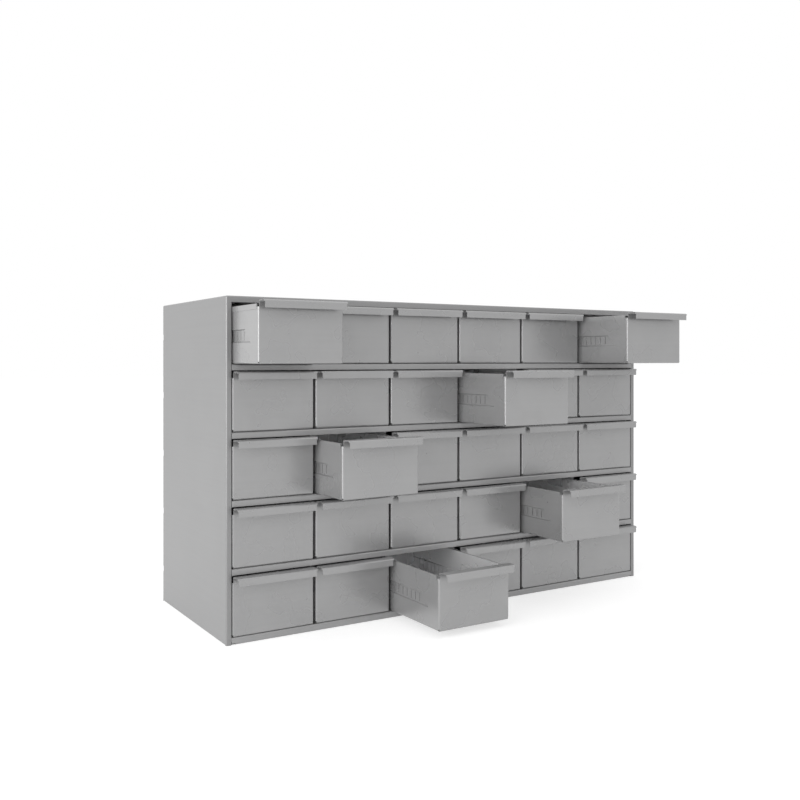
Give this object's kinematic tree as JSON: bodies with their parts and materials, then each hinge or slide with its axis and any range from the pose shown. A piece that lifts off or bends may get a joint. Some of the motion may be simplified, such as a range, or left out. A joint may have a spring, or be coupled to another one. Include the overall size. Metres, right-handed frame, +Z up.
{
  "type": "parts bin cabinet",
  "caption": "Free-standing bench cabinet of folded sheet steel with rows of small bin drawers, each with a full-width folded pull, some of them standing open.",
  "frame": {"origin": "middle of the base, at the height of the bench that the cabinet stands on", "axes": "+X to the right of someone facing the drawers, -Y out of the front (drawers open towards -Y), +Z up"},
  "size_m": [0.8572, 0.4474, 0.521],
  "materials": {
    "casing_steel": "satin grey sheet steel, fine horizontal grain",
    "drawer_steel": "satin grey sheet steel, slightly brighter on the folded pulls",
    "inner_steel": "plain mill-finish sheet steel inside and behind"
  },
  "bodies": {
    "cabinet": {"casing_shell": "casing_steel", "back_panel": "inner_steel", "bottom_tray": "casing_steel", "base_stiffener": "inner_steel", "shelf_under_row_1": "casing_steel", "shelf_under_row_2": "casing_steel", "shelf_under_row_3": "casing_steel", "shelf_under_row_4": "casing_steel", "partitions_row_1": "inner_steel", "partitions_row_2": "inner_steel", "partitions_row_3": "inner_steel", "partitions_row_4": "inner_steel", "partitions_row_5": "inner_steel"},
    "drawer_row_1_column_1": {"drawer_row_1_column_1": "drawer_steel"},
    "drawer_row_1_column_2": {"drawer_row_1_column_2": "drawer_steel"},
    "drawer_row_1_column_3": {"drawer_row_1_column_3": "drawer_steel"},
    "drawer_row_1_column_4": {"drawer_row_1_column_4": "drawer_steel"},
    "drawer_row_1_column_5": {"drawer_row_1_column_5": "drawer_steel"},
    "drawer_row_1_column_6": {"drawer_row_1_column_6": "drawer_steel"},
    "drawer_row_2_column_1": {"drawer_row_2_column_1": "drawer_steel"},
    "drawer_row_2_column_2": {"drawer_row_2_column_2": "drawer_steel"},
    "drawer_row_2_column_3": {"drawer_row_2_column_3": "drawer_steel"},
    "drawer_row_2_column_4": {"drawer_row_2_column_4": "drawer_steel"},
    "drawer_row_2_column_5": {"drawer_row_2_column_5": "drawer_steel"},
    "drawer_row_2_column_6": {"drawer_row_2_column_6": "drawer_steel"},
    "drawer_row_3_column_1": {"drawer_row_3_column_1": "drawer_steel"},
    "drawer_row_3_column_2": {"drawer_row_3_column_2": "drawer_steel"},
    "drawer_row_3_column_3": {"drawer_row_3_column_3": "drawer_steel"},
    "drawer_row_3_column_4": {"drawer_row_3_column_4": "drawer_steel"},
    "drawer_row_3_column_5": {"drawer_row_3_column_5": "drawer_steel"},
    "drawer_row_3_column_6": {"drawer_row_3_column_6": "drawer_steel"},
    "drawer_row_4_column_1": {"drawer_row_4_column_1": "drawer_steel"},
    "drawer_row_4_column_2": {"drawer_row_4_column_2": "drawer_steel"},
    "drawer_row_4_column_3": {"drawer_row_4_column_3": "drawer_steel"},
    "drawer_row_4_column_4": {"drawer_row_4_column_4": "drawer_steel"},
    "drawer_row_4_column_5": {"drawer_row_4_column_5": "drawer_steel"},
    "drawer_row_4_column_6": {"drawer_row_4_column_6": "drawer_steel"},
    "drawer_row_5_column_1": {"drawer_row_5_column_1": "drawer_steel"},
    "drawer_row_5_column_2": {"drawer_row_5_column_2": "drawer_steel"},
    "drawer_row_5_column_3": {"drawer_row_5_column_3": "drawer_steel"},
    "drawer_row_5_column_4": {"drawer_row_5_column_4": "drawer_steel"},
    "drawer_row_5_column_5": {"drawer_row_5_column_5": "drawer_steel"},
    "drawer_row_5_column_6": {"drawer_row_5_column_6": "drawer_steel"}
  },
  "joints": [
    {"name": "slide_row_1_column_1", "type": "slide", "parent": "cabinet", "child": "drawer_row_1_column_1", "axis": [0, -1, 0], "range_m": [-0.0945, 0.1466]},
    {"name": "slide_row_1_column_2", "type": "slide", "parent": "cabinet", "child": "drawer_row_1_column_2", "axis": [0, -1, 0], "range_m": [0, 0.2411]},
    {"name": "slide_row_1_column_3", "type": "slide", "parent": "cabinet", "child": "drawer_row_1_column_3", "axis": [0, -1, 0], "range_m": [0, 0.2411]},
    {"name": "slide_row_1_column_4", "type": "slide", "parent": "cabinet", "child": "drawer_row_1_column_4", "axis": [0, -1, 0], "range_m": [0, 0.2411]},
    {"name": "slide_row_1_column_5", "type": "slide", "parent": "cabinet", "child": "drawer_row_1_column_5", "axis": [0, -1, 0], "range_m": [0, 0.2411]},
    {"name": "slide_row_1_column_6", "type": "slide", "parent": "cabinet", "child": "drawer_row_1_column_6", "axis": [0, -1, 0], "range_m": [-0.119, 0.1221]},
    {"name": "slide_row_2_column_1", "type": "slide", "parent": "cabinet", "child": "drawer_row_2_column_1", "axis": [0, -1, 0], "range_m": [0, 0.2411]},
    {"name": "slide_row_2_column_2", "type": "slide", "parent": "cabinet", "child": "drawer_row_2_column_2", "axis": [0, -1, 0], "range_m": [0, 0.2411]},
    {"name": "slide_row_2_column_3", "type": "slide", "parent": "cabinet", "child": "drawer_row_2_column_3", "axis": [0, -1, 0], "range_m": [0, 0.2411]},
    {"name": "slide_row_2_column_4", "type": "slide", "parent": "cabinet", "child": "drawer_row_2_column_4", "axis": [0, -1, 0], "range_m": [-0.122, 0.1191]},
    {"name": "slide_row_2_column_5", "type": "slide", "parent": "cabinet", "child": "drawer_row_2_column_5", "axis": [0, -1, 0], "range_m": [0, 0.2411]},
    {"name": "slide_row_2_column_6", "type": "slide", "parent": "cabinet", "child": "drawer_row_2_column_6", "axis": [0, -1, 0], "range_m": [0, 0.2411]},
    {"name": "slide_row_3_column_1", "type": "slide", "parent": "cabinet", "child": "drawer_row_3_column_1", "axis": [0, -1, 0], "range_m": [0, 0.2411]},
    {"name": "slide_row_3_column_2", "type": "slide", "parent": "cabinet", "child": "drawer_row_3_column_2", "axis": [0, -1, 0], "range_m": [-0.0855, 0.1556]},
    {"name": "slide_row_3_column_3", "type": "slide", "parent": "cabinet", "child": "drawer_row_3_column_3", "axis": [0, -1, 0], "range_m": [0, 0.2411]},
    {"name": "slide_row_3_column_4", "type": "slide", "parent": "cabinet", "child": "drawer_row_3_column_4", "axis": [0, -1, 0], "range_m": [0, 0.2411]},
    {"name": "slide_row_3_column_5", "type": "slide", "parent": "cabinet", "child": "drawer_row_3_column_5", "axis": [0, -1, 0], "range_m": [0, 0.2411]},
    {"name": "slide_row_3_column_6", "type": "slide", "parent": "cabinet", "child": "drawer_row_3_column_6", "axis": [0, -1, 0], "range_m": [0, 0.2411]},
    {"name": "slide_row_4_column_1", "type": "slide", "parent": "cabinet", "child": "drawer_row_4_column_1", "axis": [0, -1, 0], "range_m": [0, 0.2411]},
    {"name": "slide_row_4_column_2", "type": "slide", "parent": "cabinet", "child": "drawer_row_4_column_2", "axis": [0, -1, 0], "range_m": [0, 0.2411]},
    {"name": "slide_row_4_column_3", "type": "slide", "parent": "cabinet", "child": "drawer_row_4_column_3", "axis": [0, -1, 0], "range_m": [0, 0.2411]},
    {"name": "slide_row_4_column_4", "type": "slide", "parent": "cabinet", "child": "drawer_row_4_column_4", "axis": [0, -1, 0], "range_m": [0, 0.2411]},
    {"name": "slide_row_4_column_5", "type": "slide", "parent": "cabinet", "child": "drawer_row_4_column_5", "axis": [0, -1, 0], "range_m": [-0.104, 0.1371]},
    {"name": "slide_row_4_column_6", "type": "slide", "parent": "cabinet", "child": "drawer_row_4_column_6", "axis": [0, -1, 0], "range_m": [0, 0.2411]},
    {"name": "slide_row_5_column_1", "type": "slide", "parent": "cabinet", "child": "drawer_row_5_column_1", "axis": [0, -1, 0], "range_m": [0, 0.2411]},
    {"name": "slide_row_5_column_2", "type": "slide", "parent": "cabinet", "child": "drawer_row_5_column_2", "axis": [0, -1, 0], "range_m": [0, 0.2411]},
    {"name": "slide_row_5_column_3", "type": "slide", "parent": "cabinet", "child": "drawer_row_5_column_3", "axis": [0, -1, 0], "range_m": [-0.135, 0.1061]},
    {"name": "slide_row_5_column_4", "type": "slide", "parent": "cabinet", "child": "drawer_row_5_column_4", "axis": [0, -1, 0], "range_m": [0, 0.2411]},
    {"name": "slide_row_5_column_5", "type": "slide", "parent": "cabinet", "child": "drawer_row_5_column_5", "axis": [0, -1, 0], "range_m": [0, 0.2411]},
    {"name": "slide_row_5_column_6", "type": "slide", "parent": "cabinet", "child": "drawer_row_5_column_6", "axis": [0, -1, 0], "range_m": [0, 0.2411]}
  ]
}
